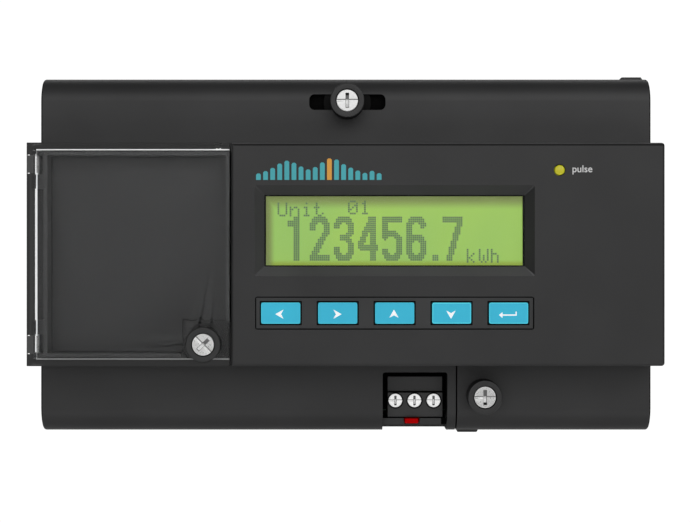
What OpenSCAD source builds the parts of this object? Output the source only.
// Electricity meter for a 35 mm top-hat rail: a stepped housing with a display and
// five keys, a clear cover over a module bay, removable terminal covers with captive
// screws, a pluggable terminal and two sprung rail latches.
// X runs to the right, Y to the back and Z up. The origin is the middle of the rail
// seat, so the face of the meter looks along -Y.

/* [Housing] */
// Width of the base
base_w = 216.9; // [214:0.1:217.5]
// Height of the base
base_h = 126.1; // [125:0.1:128]
// Width of the raised front band
band_w = 220.4; // [219:0.2:224]
// Height of the raised front band
band_h = 77.2; // [76.8:0.2:77.6]
// Distance from the rail seat to the front face
face_d = 57; // [57:0.5:60]
// Distance from the rail seat to the front of the base
step_d = 39; // [39:0.5:40]
// Distance from the rail seat back to the wall lands
land_d = 7; // [6.8:0.1:7.2]
// Distance from the rail seat to the seam between covers and rear housing
seam_d = 24; // [24:0.5:25]
// Wall thickness of the shells
wall = 2.4; // [2.2:0.1:2.6]
// Thickness of the fascia
fascia_t = 3; // [2.8:0.1:3.2]
// Radius of the long front edges of the base
edge_r = 8.7; // [8:0.1:9]
// Gap left between pieces that come apart
gap = 0.3; // [0.2:0.05:0.4]

/* [Module bay] */
// Left edge of the fascia, where the clear cover ends
bay_x = -39.65; // [-40:0.05:-39.4]
// Distance from the rail seat to the floor of the bay
bay_d = 46; // [45.9:0.1:46.1]
// Thickness of the clear cover's front plate
clear_t = 2; // [1.8:0.1:2.2]
// Thickness of the clear cover's side walls
clear_wall = 2.4; // [2.2:0.1:2.4]
// Distance of the hinge axis from the left side
hinge_in = 2.4; // [2.3:0.1:2.5]
// Distance from the rail seat to the hinge axis
hinge_d = 48.5; // [48.5:0.1:48.6]
// Radius of the hinge pins
hinge_r = 0.8; // [0.7:0.05:0.9]

/* [Display and keys] */
// Centre of the display across the fascia
lcd_x = 16.85; // [16:0.05:17]
// Centre of the display above the rail
lcd_z = 8.2; // [7.5:0.1:8.5]
// Width of the display opening at its foot
lcd_w = 90; // [88:0.2:90]
// Height of the display opening at its foot
lcd_h = 24.6; // [23.6:0.2:24.6]
// Width of the sloping border of the display opening
lcd_slope = 3.4; // [3:0.1:3.6]
// Width of a key
key_w = 13.5; // [13:0.1:13.8]
// Height of a key
key_h = 7.3; // [7:0.1:7.5]
// Distance between neighbouring keys
key_pitch = 19.67; // [19.4:0.01:19.8]
// Height of the row of keys relative to the rail
key_z = -20.3; // [-20.6:0.1:-20]
// Travel of a key
key_travel = 1; // [0.8:0.1:1]
// Radius of the pulse lens
lens_r = 1.7; // [1.5:0.05:1.8]

/* [Terminals] */
// Distance between neighbouring current terminals
current_pitch = 14; // [13:0.5:14]
// Distance between neighbouring voltage terminals
voltage_pitch = 11.5; // [11:0.1:11.6]
// Distance between neighbouring poles of the pluggable terminal
plug_pitch = 6.85; // [6.7:0.05:6.9]
// Centre of the pluggable terminal
plug_x = 24.65; // [24.4:0.05:24.9]

/* [Captive screws] */
// Outer radius of a screw collar
collar_r = 6; // [5.6:0.1:6.2]
// Radius of a screw head
head_r = 3.75; // [3.5:0.05:3.8]
// Radius of a screw shank
shank_r = 1.9; // [1.8:0.05:1.95]

/* [Hidden] */
$fn = 48;
eps = 0.1;

// Front-view half sizes
base_x = base_w / 2;
base_z = base_h / 2;
band_x = band_w / 2;
band_z = band_h / 2;
cover_z = band_z + gap;

// Y of the main planes, negative towards the front
face_y = -face_d;
step_y = -step_d;
seam_y = -seam_d;
band_back_y = step_y + 2;
bay_y = -bay_d;
inner_face_y = face_y + fascia_t;

// Rail channel, for a rail 35 mm high with 1 mm flanges
channel_z = 17.8;
hook_z = 15;
hook_y = 1.3;
hook_t = 2.5;
hook_w = 20;
hook_xs = [-80, 0, 80];

// Boards
board_y = -12;
board_t = 1.6;
board_face_y = board_y - board_t;
board_x = 103;
board_z = 57.5;
board_screw_at = [70, 12];
display_board_y = -44.8;
display_face_y = display_board_y - board_t;
display_board_box = [-36, 94, -34, 34];
display_post_at = [[-33, -31.5], [-33, 31.5], [91, -31.5], [91, 31.5]];
housing_post_at = [100, 31];
housing_split_y = -16;

// Captive screws: [x, z]
top_screw_at = [0.5, 54];
lower_screw_at = [48.8, -50.1];
bay_screw_at = [-49.3, -31.2];
collar_bore_r = head_r + 0.35;
collar_depth = 3.5;
cover_collar_front = step_y - 9.4;
cover_collar_back = step_y + 4.5;
cover_collar_len = cover_collar_back - cover_collar_front;
cover_pad_t = 2.1;
cover_shank_len = 17;
cover_boss_y = -33;
bay_collar_front = face_y - 0.8;
bay_collar_len = 7.4;
bay_shank_len = 7.8;
bay_boss_y = -50;
bay_boss_r = 4.7;
bay_insert_bore_r = 2.6;
head_len = 2.8;
insert_r = 3.6;
insert_len = 6;
insert_bore_r = shank_r + 0.15;

// Slot in the top cover, behind the collar
slot_box = [-13, 14.1, 51.4, 57];
slot_depth = 3.2;
slot_r = 1.9;
slot_hub_r = 8.4;

// Lower seam, plug window and the block in it
lower_seam_x = 39.35;
plug_window = [13.1, 36.1];
plug_window_r = 0.9;
plug_window_top = -41.9;
plug_top_z = -43.9;
plug_step_z = -49.1;
plug_foot_z = -58.2;
plug_front_y = -33;
plug_back_y = -16.8;
plug_screw_z = -52.4;
plug_screw_r = 2.45;
plug_cage_y = -25.2;
ledge_box = [-60.9, -58.6];
ledge_recess_w = 2;
ledge_front_y = -34;
ledge_back_y = -31;
tab_x = 23.5;
tab_half_w = 2.35;
tab_play = [0.4, 0.6];

// Terminals: cage and wire entry sizes
cage_out = 8.6;
cage_in = 6.8;
wire_r = 3.3;
wire_y = -19.5;
block_front_y = -34;
block_z = [41.5, 58];
current_x = 49;
voltage_x = 80.5;
notch_half_w = 4.5;

// Hinge of the clear cover
hinge_x = -band_x + hinge_in;
hinge_y = -hinge_d;
knuckle_z = [28.15, 34.2];
knuckle_r = hinge_in - 0.1;
ear_inner_z = [23, 27.85];
ear_outer_z = [34.5, 35.9];
clear_left_back_y = hinge_y - 2.7;
clear_back_y = hinge_y + 2.2;
clear_right_x = bay_x - 0.55;
nail_notch_x = -43.9;

// Rail latches
latch_x = 61;
latch_half_w = 6.8;
latch_groove = latch_half_w + gap;
latch_window = [-38.9, -23.7];
latch_peg = [-38.6, -37.1];
spring_r = 1.1;
spring_wire = 0.25;
spring_turns = 6;

key_xs = [for (i = [-2:2]) lcd_x + i * key_pitch];
key_face_y = face_y - 0.2;
tray_depth = 0.8;
tray_half = [48.2, 5.7];
lens_at = [73.8, 29.1];

// ---- Shared shapes ----

// Outline in the front view, given depth from y = front to y = back
module slab(front, back) {
    translate([0, back, 0]) rotate([90, 0, 0]) linear_extrude(back - front) children();
}

// Outline in the side view (Y, Z), swept from x = left to x = right
module along_x(left, right) {
    translate([left, 0, 0]) rotate([90, 0, 90]) linear_extrude(right - left) children();
}

module box(x, y, z) {
    translate([x[0], y[0], z[0]]) cube([x[1] - x[0], y[1] - y[0], z[1] - z[0]]);
}

// Round bar along Y at a front-view place
module rod(at, r, front, back) {
    translate([at[0], back, at[1]]) rotate([90, 0, 0]) cylinder(r = r, h = back - front);
}

module frame_rect(x, z) {
    translate([x[0], z[0]]) square([x[1] - x[0], z[1] - z[0]]);
}

module round_rect(x, z, r) {
    frame_rect([x[0] + r, x[1] - r], z);
    frame_rect(x, [z[0] + r, z[1] - r]);
    for (cx = [x[0] + r, x[1] - r], cz = [z[0] + r, z[1] - r]) translate([cx, cz]) circle(r);
}

module centred_rect(c, w, h, r) {
    round_rect([c[0] - w / 2, c[0] + w / 2], [c[1] - h / 2, c[1] + h / 2], r);
}

// Side-view outline of the covers above the band: front wall, round edge and top wall
module cover_outline(inset) {
    r = edge_r - inset;
    polygon(concat(
        [[step_y + inset, cover_z]],
        [for (a = [0:5:90])
            [step_y + edge_r - r * cos(a), base_z - edge_r + r * sin(a)]],
        [[seam_y - gap, base_z - inset], [seam_y - gap, cover_z]]
    ));
}

// Hollow cover between two X values, open at the back and towards the band
module cover_shell(left, right) {
    difference() {
        along_x(left, right) cover_outline(0);
        along_x(left + wall, right - wall) intersection() {
            cover_outline(wall);
            translate([step_y, 0]) square([step_d, base_h]);
        }
        box([left + wall, right - wall], [seam_y - 1, 0], [cover_z, base_z - wall]);
        box([left + wall, right - wall], [step_y + wall, 0], [cover_z - 1, cover_z + eps]);
    }
}

// Small trapezoid grip on the outer wall of a cover
module cover_lug(x0) {
    lug_w = 8.2;
    lug_h = 0.9;
    translate([x0, 0, base_z - eps]) rotate([90, 0, 0]) translate([0, 0, -seam_y + 2])
        linear_extrude(4)
            polygon([[0, 0], [lug_w, 0], [lug_w - 0.7, lug_h + eps], [0.7, lug_h + eps]]);
}

// Upright slot milled into a head with a disc: it ends inside the head, on a curved floor
module milled_slot(width, span, depth) {
    disc_r = (span * span / 4 + depth * depth) / (2 * depth);
    translate([-width / 2, depth - disc_r, 0]) rotate([0, 90, 0])
        cylinder(r = disc_r, h = width, $fn = 96);
}

// Shallow groove from side to side of a head
module face_groove(width, span, depth) {
    translate([-span / 2, -eps, -width / 2]) cube([span, depth + eps, width]);
}

// Screw along Y: head with a slot and a groove across it, then the shank
module captive_screw(at, front, shank_len, turn) {
    color("silver") difference() {
        union() {
            rod(at, head_r, front, front + head_len);
            rod(at, shank_r, front + head_len - eps, front + head_len + shank_len);
        }
        translate([at[0], front, at[1]]) rotate([0, turn, 0]) {
            milled_slot(1.25, 5.3, 1.2);
            face_groove(1, 2 * head_r + 1, 0.2);
        }
    }
}

// Sleeve that guides a captive screw and sinks its head
module screw_collar(at, front, length) {
    color([0.16, 0.16, 0.17]) difference() {
        rod(at, collar_r, front, front + length);
        rod(at, collar_bore_r, front - eps, front + collar_depth);
        rod(at, shank_r + 0.25, front, front + length + eps);
    }
}

module small_screw(at, r, front, head, back) {
    rod(at, 1.9 * r, front, front + head);
    rod(at, r, front + head - eps, back);
}

// ---- Housing ----

module rear_outline() {
    c = 1.5;
    polygon([
        [seam_y, -base_z], [land_d - c, -base_z], [land_d, -base_z + c],
        [land_d, -channel_z], [0, -channel_z], [0, channel_z], [land_d, channel_z],
        [land_d, base_z - c], [land_d - c, base_z], [seam_y, base_z]
    ]);
}

module rear_cavity() {
    z = base_z - wall;
    cz = channel_z + wall;
    polygon([
        [seam_y - 1, -z], [land_d - wall, -z], [land_d - wall, -cz], [-wall, -cz],
        [-wall, cz], [land_d - wall, cz], [land_d - wall, z], [seam_y - 1, z]
    ]);
}

module latch_guide(x) {
    difference() {
        box([x - latch_groove - 2, x + latch_groove + 2], [-1.4, land_d], [-base_z, -channel_z - 0.05]);
        box([x - latch_groove, x + latch_groove], [1, land_d + 1], [-base_z - 1, -channel_z + 1]);
    }
    box([x - latch_groove - 1, x + latch_groove + 1], [hook_y + hook_t + gap, land_d - 0.2], [-52, -44]);
    box([x - 2.2, x + 2.2], [0.5, hook_y + hook_t], latch_peg);
}

module wire_notches(centre, count, pitch, side) {
    for (i = [0:count - 1]) {
        x = centre + (i - (count - 1) / 2) * pitch;
        translate([x - notch_half_w, seam_y - 1, side > 0 ? base_z - wall - 1 : -base_z - 1])
            cube([2 * notch_half_w, 10.5, wall + 2]);
    }
}

module rear_housing() {
    color([0.17, 0.17, 0.18]) difference() {
        union() {
            difference() {
                along_x(-base_x, base_x) rear_outline();
                along_x(-base_x + wall, base_x - wall) rear_cavity();
                for (x = [-latch_x, latch_x])
                    box([x - latch_groove, x + latch_groove], [1, land_d + 1],
                        [-base_z - 1, -channel_z + 1]);
            }
            for (x = [-latch_x, latch_x]) latch_guide(x);
            for (x = hook_xs)
                box([x - hook_w / 2, x + hook_w / 2], [hook_y, hook_y + hook_t + 0.5],
                    [hook_z, channel_z + 1]);
            for (x = [-1, 1], z = [-1, 1]) {
                rod([x * board_screw_at[0], z * board_screw_at[1]], 3, board_y, -wall + eps);
                rod([x * housing_post_at[0], z * housing_post_at[1]], 3.6, housing_split_y,
                    land_d - wall + eps);
            }
            for (at = [top_screw_at, lower_screw_at]) rod(at, 5, cover_boss_y, land_d - wall + eps);
        }
        for (x = [-1, 1], z = [-1, 1]) {
            rod([x * board_screw_at[0], z * board_screw_at[1]], 1.2, board_y - eps, -wall - 1);
            at = [x * housing_post_at[0], z * housing_post_at[1]];
            rod(at, 1.7, housing_split_y - eps, land_d + 1);
            rod(at, 3, land_d - 3, land_d + 1);
        }
        for (at = [top_screw_at, lower_screw_at]) {
            rod(at, insert_r, cover_boss_y - eps, cover_boss_y + insert_len);
            rod(at, insert_bore_r, cover_boss_y, cover_boss_y + 12);
        }
        wire_notches(-current_x, 3, current_pitch, 1);
        wire_notches(current_x, 3, current_pitch, 1);
        wire_notches(voltage_x, 4, voltage_pitch, -1);
        box(plug_window, [seam_y - 1, seam_y + 5], [-base_z - 1, -base_z + wall + 1]);
    }
}

module front_outer() {
    slab(face_y, band_back_y) frame_rect([bay_x, band_x], [-band_z, band_z]);
    slab(bay_y, band_back_y) frame_rect([-band_x, bay_x + 1], [-band_z, band_z]);
    slab(band_back_y - 1, seam_y) frame_rect([-base_x, base_x], [-band_z, band_z]);
    slab(seam_y - 1, board_face_y - 0.4)
        frame_rect([-base_x + wall + gap, base_x - wall - gap], [-band_z, band_z]);
}

module front_cavity() {
    z = [-band_z + wall, band_z - wall];
    box([bay_x + 2, base_x - wall], [inner_face_y, 0], z);
    box([-base_x + wall, bay_x + 3], [bay_y + wall, 0], z);
    box([-base_x - 1, -base_x + wall + 1], [seam_y, 0], z);
    box([base_x - wall - 1, base_x + 1], [seam_y, 0], z);
}

module bay_rim() {
    left = hinge_x + 3;
    right = clear_right_x - 0.2;
    z = band_z - clear_wall - 0.6;
    slab(face_y + clear_t + gap, bay_y + eps) difference() {
        frame_rect([left, right], [-z, z]);
        frame_rect([left + 1.4, right - 1.2], [-z + 1.2, z - 1.2]);
        frame_rect([bay_screw_at[0] - 8, right + 1], [-z - 1, bay_screw_at[1] + 8]);
    }
}

// Room for the clear cover's left wall as it swings, with a rebate that it stands in when open
module hinge_relief() {
    translate([hinge_x, hinge_y, -band_z - 1]) cylinder(r = 3.9, h = band_h + 2);
    box([-band_x - 1, -band_x + 1.1], [bay_y - 1, bay_y + 1.7], [-band_z - 1, band_z + 1]);
}

module hinge_ear(z) {
    translate([0, 0, z[0]]) linear_extrude(z[1] - z[0]) {
        translate([hinge_x, hinge_y]) circle(knuckle_r);
        translate([hinge_x, hinge_y - knuckle_r]) square([3.2, bay_y - hinge_y + knuckle_r + 2]);
    }
}

module lcd_pit() {
    slope_w = lcd_w + 2 * lcd_slope;
    slope_h = lcd_h + 2 * lcd_slope;
    hull() {
        slab(face_y - eps, face_y) centred_rect([lcd_x, lcd_z], slope_w, slope_h, 0.6, $fn = 16);
        slab(inner_face_y, inner_face_y + eps) centred_rect([lcd_x, lcd_z], lcd_w, lcd_h, 0.3, $fn = 16);
    }
}

module front_housing() {
    color([0.2, 0.2, 0.21]) difference() {
        union() {
            difference() {
                front_outer();
                front_cavity();
                hinge_relief();
            }
            bay_rim();
            for (z = [ear_inner_z, ear_outer_z]) {
                hinge_ear(z);
                mirror([0, 0, 1]) hinge_ear(z);
            }
            rod(bay_screw_at, bay_boss_r, bay_boss_y, bay_y + wall + 2);
            for (z = [-1, 1]) {
                rod([-housing_post_at[0], z * housing_post_at[1]], 3.6, bay_y + 1, housing_split_y - eps);
                rod([housing_post_at[0], z * housing_post_at[1]], 3.6, inner_face_y - 1,
                    housing_split_y - eps);
            }
            for (at = display_post_at) rod(at, 2.5, inner_face_y - 1, display_face_y);
        }
        lcd_pit();
        slab(face_y - 1, face_y + tray_depth)
            centred_rect([lcd_x, key_z], 2 * tray_half[0], 2 * tray_half[1], 0.8);
        for (x = key_xs)
            slab(face_y, inner_face_y + 1) centred_rect([x, key_z], key_w + 1, key_h + 1, 0.9);
        rod(lens_at, lens_r + 0.32, face_y - 1, inner_face_y + 1);
        rod(bay_screw_at, insert_r, bay_boss_y - eps, bay_boss_y + insert_len);
        for (at = display_post_at) rod(at, 1.1, inner_face_y + 1, display_face_y + eps);
        for (x = [-1, 1], z = [-1, 1])
            rod([x * housing_post_at[0], z * housing_post_at[1]], 1.5, housing_split_y - 14,
                housing_split_y);
        for (s = [-1, 1])
            translate([hinge_x, hinge_y, s > 0 ? ear_inner_z[0] + 0.5 : -ear_outer_z[1] + 0.2])
                cylinder(r = hinge_r, h = ear_outer_z[1] - ear_inner_z[0] - 0.7);
        for (s = [-1, 1])
            translate([hinge_x, hinge_y, s > 0 ? knuckle_z[0] - gap : -knuckle_z[1] - gap])
                cylinder(r = 2.8, h = knuckle_z[1] - knuckle_z[0] + 2 * gap);
    }
}

module plug_pocket() {
    w = 2;
    y = [step_y + 1, seam_y - gap];
    top = plug_window_top + w;
    for (x = [plug_window[0] - w, plug_window[1]]) box([x, x + w], y, [-base_z + 1, top]);
    box([plug_window[0] - w, plug_window[1] + w], y, [plug_window_top - plug_window_r, top]);
}

// Cut for the plug's window, with its two upper corners rounded
module plug_opening() {
    slab(step_y - 1, 0)
        round_rect(plug_window, [-base_z - 2, plug_window_top], plug_window_r);
}

// Strip below the window that carries the release tab, set back at its right end
module plug_ledge() {
    right = plug_window[1] - ledge_recess_w;
    box([plug_window[0] - 1, right], [ledge_front_y, ledge_back_y], ledge_box);
    box([right - eps, plug_window[1] + 1], [ledge_back_y - 1, ledge_back_y], ledge_box);
}

module lower_skirt() {
    color([0.18, 0.18, 0.19]) difference() {
        union() {
            mirror([0, 0, 1]) cover_shell(-base_x, lower_seam_x - 0.25);
            intersection() {
                plug_pocket();
                mirror([0, 0, 1]) along_x(-base_x, lower_seam_x) cover_outline(0);
            }
            plug_ledge();
        }
        difference() {
            plug_opening();
            plug_ledge();
        }
        box([tab_x - tab_half_w - tab_play[0], tab_x + tab_half_w + tab_play[1]],
            [ledge_front_y - 1, ledge_back_y + 1], [ledge_box[0] + 0.3, ledge_box[1] + 1]);
    }
}

module bay_panel() {
    color([0.13, 0.13, 0.14]) slab(bay_y - 1, bay_y) difference() {
        frame_rect([hinge_x + 4.8, clear_right_x - 1.8], [-34, 34]);
        frame_rect([bay_screw_at[0] - 8, bay_x], [-35, bay_screw_at[1] + 8]);
    }
}

// ---- Display and keys ----

module display_window() {
    color([0.9, 0.95, 0.9, 0.4]) slab(inner_face_y + 0.05, inner_face_y + 1.25)
        centred_rect([lcd_x, lcd_z], lcd_w + 4.4, lcd_h + 4.6, 1);
}

module display_gasket() {
    color([0.1, 0.1, 0.1]) slab(inner_face_y + 1.3, inner_face_y + 1.7) difference() {
        centred_rect([lcd_x, lcd_z], lcd_w + 4.4, lcd_h + 4.6, 1);
        centred_rect([lcd_x, lcd_z], lcd_w + 0.6, lcd_h + 0.6, 0.5);
    }
}

module lcd_glass() {
    color([0.6, 0.76, 0.38]) slab(inner_face_y + 1.75, inner_face_y + 3.95)
        centred_rect([lcd_x, lcd_z], lcd_w + 3.4, lcd_h + 3.6, 0.3);
}

module lcd_backlight() {
    color([0.75, 0.9, 0.4]) slab(inner_face_y + 4, inner_face_y + 7)
        centred_rect([lcd_x, lcd_z], lcd_w + 3.4, lcd_h + 3.6, 0.3);
}

module lcd_frame() {
    color([0.6, 0.6, 0.6]) slab(inner_face_y + 1.8, display_face_y - 0.1) difference() {
        centred_rect([lcd_x, lcd_z], lcd_w + 8.4, lcd_h + 7.6, 1);
        centred_rect([lcd_x, lcd_z], lcd_w + 3.8, lcd_h + 4, 0.4);
    }
}

module display_board() {
    color([0.1, 0.35, 0.2]) slab(display_face_y, display_board_y) difference() {
        frame_rect([display_board_box[0], display_board_box[1]], [display_board_box[2], display_board_box[3]]);
        for (at = display_post_at) translate(at) circle(1.4);
    }
}

module key_switches() {
    color([0.2, 0.2, 0.2]) for (x = key_xs) difference() {
        box([x - 3, x + 3], [display_face_y - 3.6, display_face_y], [key_z - 3, key_z + 3]);
        rod([x, key_z], 1.75, display_face_y - 4, display_face_y - 1);
    }
}

module display_screws() {
    color("silver") for (at = display_post_at) {
        rod(at, 2.1, display_board_y, display_board_y + 1.5);
        rod(at, 1.1, inner_face_y + 2, display_board_y + eps);
    }
}

module pulse_lens() {
    cap = 0.5;
    ball = (lens_r * lens_r + cap * cap) / (2 * cap);
    color([0.87, 0.84, 0.16]) {
        rod(lens_at, lens_r, face_y, inner_face_y + 3);
        rod(lens_at, lens_r + 1, inner_face_y + 0.05, inner_face_y + 1);
        intersection() {
            translate([lens_at[0], face_y - cap + ball, lens_at[1]]) sphere(ball);
            rod(lens_at, lens_r, face_y - 1, face_y + eps);
        }
    }
}

module pulse_led() {
    color([0.9, 0.9, 0.6]) rod(lens_at, 1.5, inner_face_y + 3.2, display_face_y);
}

// Key cap with a flange behind the fascia and a stem that enters its switch
module key(index) {
    x = key_xs[index];
    color([0.27, 0.71, 0.84]) {
        slab(key_face_y, inner_face_y + gap + eps) centred_rect([x, key_z], key_w, key_h, 0.7);
        slab(inner_face_y + gap, inner_face_y + gap + 1)
            centred_rect([x, key_z], key_w + 3, key_h + 3, 0.9);
        rod([x, key_z], 1.45, inner_face_y + 1, display_face_y - 1.8 - key_travel);
    }
}
module key_left() { key(0); }
module key_right() { key(1); }
module key_up() { key(2); }
module key_down() { key(3); }
module key_enter() { key(4); }

// ---- Electronics ----

module main_board() {
    color([0.1, 0.35, 0.2]) slab(board_face_y, board_y) difference() {
        frame_rect([-board_x, board_x], [-board_z, board_z]);
        translate(top_screw_at) circle(5.5);
        translate(lower_screw_at) circle(5.5);
        for (x = [-1, 1], z = [-1, 1]) {
            translate([x * housing_post_at[0], z * housing_post_at[1]]) circle(4);
            translate([x * board_screw_at[0], z * board_screw_at[1]]) circle(1.4);
        }
    }
}

module board_header() {
    color([0.12, 0.12, 0.12]) box([40, 72], [display_board_y + 0.05, board_face_y - 0.05], [-33, -28]);
}

module metering_chips() {
    color([0.08, 0.08, 0.08]) for (c = [[20, 5, 12], [42, 12, 9], [64, 2, 7], [20, -18, 7]])
        box([c[0] - c[2] / 2, c[0] + c[2] / 2], [board_face_y - 1.6, board_face_y],
            [c[1] - c[2] / 2, c[1] + c[2] / 2]);
}

module power_transformer() {
    color([0.5, 0.42, 0.2]) {
        box([-94, -76], [-40, board_face_y], [-17, 17]);
        box([-98.5, -71.5], [-34, board_face_y - 6], [-12, 12]);
    }
}

module filter_capacitors() {
    color([0.15, 0.2, 0.5]) for (z = [-24, -8, 8, 24]) rod([-52, z], 6.2, -38, board_face_y);
}

module relay() {
    color([0.2, 0.35, 0.7]) box([-34, -10], [-30, board_face_y], [-30, -6]);
}

module backup_battery() {
    color("silver") rod([-8, 20], 10, board_face_y - 5, board_face_y);
}

module current_sensors() {
    color([0.2, 0.45, 0.25]) for (x = [-84, -60, -36])
        translate([x, board_face_y - 4, -49]) rotate([90, 0, 0]) rotate_extrude()
            translate([5.5, 0]) circle(3.2);
}

// ---- Terminals ----

function pole_x(centre, count, pitch, i) = centre + (i - (count - 1) / 2) * pitch;

// Block of screw terminals: wells for the screws at the front, wire entries above
module terminal_block(centre, count, pitch) {
    half = count * pitch / 2;
    screw_z = (block_z[0] + block_z[1]) / 2;
    difference() {
        box([centre - half, centre + half], [block_front_y, board_face_y], block_z);
        for (i = [0:count - 1]) {
            x = pole_x(centre, count, pitch, i);
            c = cage_out / 2 + 0.1;
            box([x - c, x + c], [wire_y - c, wire_y + c], [block_z[0] + 3, block_z[1] - 3.2]);
            translate([x, wire_y, block_z[1] - 4]) cylinder(r = wire_r, h = 5);
            rod([x, screw_z], 3.2, block_front_y - 1, -28);
            rod([x, screw_z], 1.9, -29, wire_y);
        }
    }
}

module terminal_fittings(centre, count, pitch, part) {
    screw_z = (block_z[0] + block_z[1]) / 2;
    for (i = [0:count - 1]) {
        x = pole_x(centre, count, pitch, i);
        if (part == "screws") difference() {
            union() {
                rod([x, screw_z], 2.9, -31, -28.5);
                rod([x, screw_z], 1.7, -28.6, wire_y - cage_out / 2 - 0.1);
            }
            box([x - 3.5, x + 3.5], [-32, -30], [screw_z - 0.5, screw_z + 0.5]);
        }
        if (part == "cages") difference() {
            translate([x, wire_y, block_z[0] + 3.2])
                linear_extrude(block_z[1] - block_z[0] - 6.6) difference() {
                    square(cage_out, center = true);
                    square(cage_in, center = true);
                }
        }
    }
}

module all_fittings(part) {
    terminal_fittings(-current_x, 3, current_pitch, part);
    terminal_fittings(current_x, 3, current_pitch, part);
    mirror([0, 0, 1]) terminal_fittings(voltage_x, 4, voltage_pitch, part);
}

module current_block_left() { color([0.15, 0.4, 0.2]) terminal_block(-current_x, 3, current_pitch); }
module current_block_right() { color([0.15, 0.4, 0.2]) terminal_block(current_x, 3, current_pitch); }
module voltage_block() {
    color([0.15, 0.4, 0.2]) mirror([0, 0, 1]) terminal_block(voltage_x, 4, voltage_pitch);
}
module terminal_screws() { color("silver") all_fittings("screws"); }
module terminal_cages() { color("gold") all_fittings("cages"); }

// ---- Fasteners inside ----

module board_screws() {
    color("silver") for (x = [-1, 1], z = [-1, 1])
        small_screw([x * board_screw_at[0], z * board_screw_at[1]], 1.2, board_face_y - 1.6, 1.6, -5);
}

module housing_screws() {
    color("silver") for (x = [-1, 1], z = [-1, 1]) {
        at = [x * housing_post_at[0], z * housing_post_at[1]];
        difference() {
            union() {
                rod(at, 2.8, land_d - 3, land_d - 0.8);
                rod(at, 1.5, housing_split_y - 12, land_d - 2.9);
            }
            box([at[0] - 2, at[0] + 2], [land_d - 1.9, land_d], [at[1] - 0.4, at[1] + 0.4]);
            box([at[0] - 0.4, at[0] + 0.4], [land_d - 1.9, land_d], [at[1] - 2, at[1] + 2]);
        }
    }
}

module insert(at, front, bore_r) {
    difference() {
        rod(at, insert_r, front, front + insert_len);
        rod(at, bore_r, front - eps, front + insert_len + eps);
    }
}

module threaded_inserts() {
    color("gold") {
        insert(top_screw_at, cover_boss_y, insert_bore_r);
        insert(lower_screw_at, cover_boss_y, insert_bore_r);
        insert(bay_screw_at, bay_boss_y, bay_insert_bore_r);
    }
}

module hinge_pins() {
    length = ear_outer_z[1] - ear_inner_z[0] - 0.8;
    color("silver") for (s = [-1, 1])
        translate([hinge_x, hinge_y, s > 0 ? ear_inner_z[0] + 0.6 : -ear_inner_z[0] - 0.6 - length])
            cylinder(r = hinge_r, h = length);
}

// ---- Rail latches ----

module din_latch(x) {
    y = [hook_y, hook_y + hook_t];
    color([0.25, 0.25, 0.26]) difference() {
        union() {
            box([x - latch_half_w, x + latch_half_w], y, [-65.5, -hook_z]);
            box([x - latch_half_w, x + latch_half_w], [y[0], y[1] + 2.4], [-65.5, -61]);
        }
        box([x - 2.6, x + 2.6], [0, 5], latch_window);
        box([x - 3, x + 3], [0, 8], [-64.3, -62.5]);
        translate([x, y[1], -hook_z]) rotate([45, 0, 0]) cube([30, 1.4, 1.4], center = true);
    }
}
module din_latch_left() { din_latch(-latch_x); }
module din_latch_right() { din_latch(latch_x); }

// Compression spring: a round wire swept along a helix, its axis along Z
module coil_spring(x) {
    z0 = latch_peg[1] + 0.1;
    z1 = latch_window[1] - 0.1;
    sides = 6;
    steps = 10 * spring_turns;
    rise = z1 - z0 - 2 * spring_wire;
    function ring(i) = let (
        a = 36 * i,
        out = [cos(a), sin(a), 0],
        c = [x, hook_y + hook_t / 2, z0 + spring_wire + rise * i / steps] + spring_r * out
    ) [for (k = [0:sides - 1]) c + spring_wire * (cos(60 * k) * out + [0, 0, sin(60 * k)])];
    points = [for (i = [0:steps], p = ring(i)) p];
    sides_faces = [for (i = [0:steps - 1], k = [0:sides - 1])
        let (a = i * sides + k, b = i * sides + (k + 1) % sides)
        each [[a, b, b + sides], [a, b + sides, a + sides]]];
    first = [for (k = [sides - 1:-1:0]) k];
    last = [for (k = [0:sides - 1]) steps * sides + k];
    color("silver") polyhedron(points, concat(sides_faces, [first, last]));
}
module latch_spring_left() { coil_spring(-latch_x); }
module latch_spring_right() { coil_spring(latch_x); }

// ---- Clear cover ----

// Tapered notch in the top edge near the free end, for lifting the cover with a nail
module nail_notch() {
    half_top = 1.65;
    half_foot = 0.7;
    slab(face_y - 1, face_y + 1.2) translate([nail_notch_x, band_z])
        polygon([[-half_top, 1], [half_top, 1], [half_top, 0], [half_foot, -2.2],
            [-half_foot, -2.2], [-half_top, 0]]);
}

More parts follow.
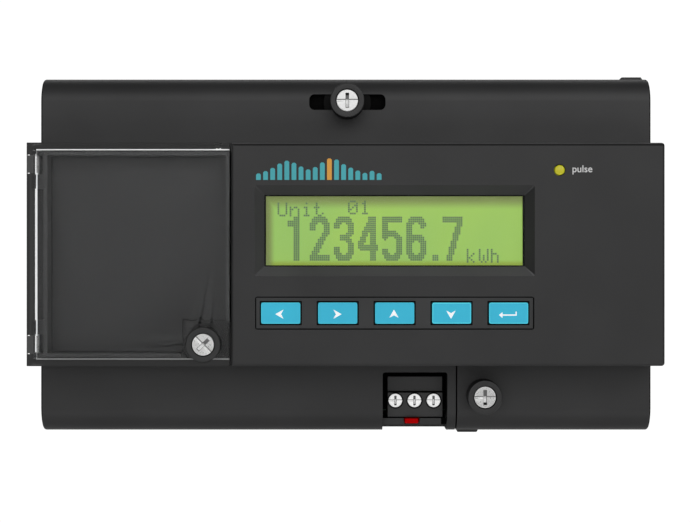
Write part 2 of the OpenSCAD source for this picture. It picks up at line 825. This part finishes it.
module clear_cover() {
    plate_back = face_y + clear_t;
    color([0.8, 0.85, 0.9, 0.3]) difference() {
        union() {
            slab(face_y, plate_back) frame_rect([-band_x, clear_right_x], [-band_z, band_z]);
            box([-band_x, -band_x + clear_wall + 0.2], [face_y, clear_left_back_y], [-band_z, band_z]);
            for (s = [-1, 1]) {
                z0 = s > 0 ? band_z - clear_wall : -band_z;
                translate([0, 0, z0]) linear_extrude(clear_wall) {
                    translate([hinge_x, hinge_y]) circle(clear_back_y - hinge_y);
                    translate([hinge_x, face_y])
                        square([clear_right_x - hinge_x, clear_back_y - face_y]);
                    translate([-band_x + 0.2, face_y]) square([3, hinge_y - face_y]);
                }
                k0 = s > 0 ? knuckle_z[0] : -knuckle_z[1];
                translate([0, 0, k0]) linear_extrude(knuckle_z[1] - knuckle_z[0]) {
                    translate([hinge_x, hinge_y]) circle(knuckle_r);
                    translate([-band_x + 0.1, face_y + 1])
                        square([clear_wall, hinge_y - face_y - 1]);
                }
            }
            rod(bay_screw_at, 7.4, plate_back - eps, bay_boss_y - 0.6);
            box([bay_screw_at[0], clear_right_x - 0.2], [plate_back - eps, bay_boss_y - 0.6],
                [-band_z + clear_wall, bay_screw_at[1] + 7.4]);
        }
        rod(bay_screw_at, collar_r, face_y - 1, bay_boss_y);
        nail_notch();
        for (s = [-1, 1])
            translate([hinge_x, hinge_y, s > 0 ? knuckle_z[0] - 1 : -knuckle_z[1] - 1])
                cylinder(r = hinge_r + 0.08, h = knuckle_z[1] - knuckle_z[0] + 2);
    }
}
module bay_screw_collar() { screw_collar(bay_screw_at, bay_collar_front, bay_collar_len); }
module bay_screw() { captive_screw(bay_screw_at, bay_collar_front + 0.3, bay_shank_len, 45); }

// ---- Terminal covers ----

module collar_pad(at, half_w) {
    box([at[0] - half_w, at[0] + half_w], [step_y + wall - eps, step_y + wall + cover_pad_t],
        [at[1] - 7.5, at[1] + 5]);
}

module top_cover() {
    color([0.18, 0.18, 0.19]) difference() {
        union() {
            cover_shell(-base_x, base_x);
            collar_pad(top_screw_at, 16);
            cover_lug(base_x - 9.6);
        }
        difference() {
            slab(step_y - 1, step_y + slot_depth)
                round_rect([slot_box[0], slot_box[1]], [slot_box[2], slot_box[3]], slot_r);
            rod(top_screw_at, slot_hub_r, step_y + 1.2, 0);
        }
        rod(top_screw_at, collar_r, step_y - 1, 0);
    }
}
module top_screw_collar() { screw_collar(top_screw_at, cover_collar_front, cover_collar_len); }
module top_screw() { captive_screw(top_screw_at, cover_collar_front + 0.3, cover_shank_len, 0); }

module lower_cover() {
    left = lower_seam_x + 0.25;
    color([0.18, 0.18, 0.19]) difference() {
        union() {
            mirror([0, 0, 1]) {
                cover_shell(left, base_x);
                cover_lug(left);
            }
            box([left + 1, lower_screw_at[0] + 7.5], [step_y + wall - eps, step_y + wall + cover_pad_t],
                [-57, -43]);
        }
        rod(lower_screw_at, collar_r, step_y - 1, 0);
    }
}
module lower_screw_collar() { screw_collar(lower_screw_at, cover_collar_front, cover_collar_len); }
module lower_screw() { captive_screw(lower_screw_at, cover_collar_front + 0.3, cover_shank_len, 0); }

// ---- Pluggable terminal ----

plug_xs = [for (i = [-1:1]) plug_x + i * plug_pitch];
plug_body = [plug_x - 9.6, plug_x + 10];
plug_groove = 0.45;
plug_cage_out = 5.4;
plug_cage_in = 4.5;

module comm_header() {
    color([0.1, 0.1, 0.1])
        union() {
            box(plug_body, [plug_back_y + gap, board_face_y], [-57, -45]);
            box([plug_window[0] - 1.5, plug_window[1] + 1.5], [board_face_y - 1.6, board_face_y],
                [-57, -41]);
        }
    color("gold") for (x = plug_xs)
        box([x - 0.5, x + 0.5], [plug_back_y - 5, plug_back_y + gap + eps], [-51.5, -50.5]);
}

module comm_plug() {
    c = plug_cage_out / 2 + 0.05;
    color([0.13, 0.13, 0.14]) difference() {
        union() {
            box(plug_body, [plug_front_y, plug_back_y], [plug_foot_z, plug_step_z]);
            box(plug_body, [plug_front_y + 1.5, plug_back_y], [plug_step_z - eps, plug_top_z]);
        }
        box([plug_body[0] - 1, plug_body[1] + 1], [plug_front_y - 1, plug_front_y + 2.2],
            [plug_step_z - plug_groove, plug_step_z]);
        for (x = plug_xs) {
            rod([x, plug_screw_z], plug_screw_r + 0.35, plug_front_y - 1, plug_front_y + 3);
            rod([x, plug_screw_z], 1.7, plug_front_y, plug_cage_y);
            box([x - c, x + c], [plug_cage_y - c, plug_cage_y + c], [plug_foot_z - 1, -49.8]);
            box([x - 0.8, x + 0.8], [plug_cage_y, plug_back_y + 1], [-51.8, -50.2]);
        }
    }
}

module plug_cages() {
    color("gold") for (x = plug_xs) difference() {
        translate([x, plug_cage_y, plug_foot_z + 0.5]) linear_extrude(7.8) difference() {
            square(plug_cage_out, center = true);
            square(plug_cage_in, center = true);
        }
        box([x - 0.75, x + 0.75], [plug_cage_y, plug_back_y], [-51.8, -50.2]);
    }
}

module plug_screw(i) {
    x = plug_xs[i];
    front = plug_front_y + 0.3;
    color("silver") difference() {
        union() {
            rod([x, plug_screw_z], plug_screw_r, front, front + 2);
            rod([x, plug_screw_z], 1.4, front + 1.9, plug_cage_y - plug_cage_out / 2 - 0.15);
        }
        translate([x, front, plug_screw_z]) {
            milled_slot(0.85, 3.5, 0.8);
            face_groove(0.7, 2 * plug_screw_r + 1, 0.12);
        }
    }
}
module plug_screw_1() { plug_screw(0); }
module plug_screw_2() { plug_screw(1); }
module plug_screw_3() { plug_screw(2); }

module release_tab() {
    z = [ledge_box[0] + 0.55, ledge_box[1] - 0.05];
    color([0.55, 0.05, 0.06]) {
        box([tab_x - tab_half_w, tab_x + tab_half_w], [ledge_front_y - 1.4, ledge_back_y + gap + 1], z);
        box([tab_x - tab_half_w - 1.4, tab_x + tab_half_w + 1.4],
            [ledge_back_y + gap, ledge_back_y + gap + 1.2], z);
    }
}

rear_housing();
front_housing();
lower_skirt();
bay_panel();
display_window();
display_gasket();
lcd_glass();
lcd_backlight();
lcd_frame();
display_board();
key_switches();
display_screws();
pulse_lens();
pulse_led();
main_board();
board_header();
metering_chips();
power_transformer();
filter_capacitors();
relay();
backup_battery();
current_sensors();
current_block_left();
current_block_right();
voltage_block();
terminal_screws();
terminal_cages();
comm_header();
board_screws();
housing_screws();
threaded_inserts();
hinge_pins();
latch_spring_left();
latch_spring_right();
din_latch_left();
din_latch_right();
clear_cover();
bay_screw_collar();
bay_screw();
top_cover();
top_screw_collar();
top_screw();
lower_cover();
lower_screw_collar();
lower_screw();
key_left();
key_right();
key_up();
key_down();
key_enter();
comm_plug();
plug_screw_1();
plug_screw_2();
plug_screw_3();
plug_cages();
release_tab();
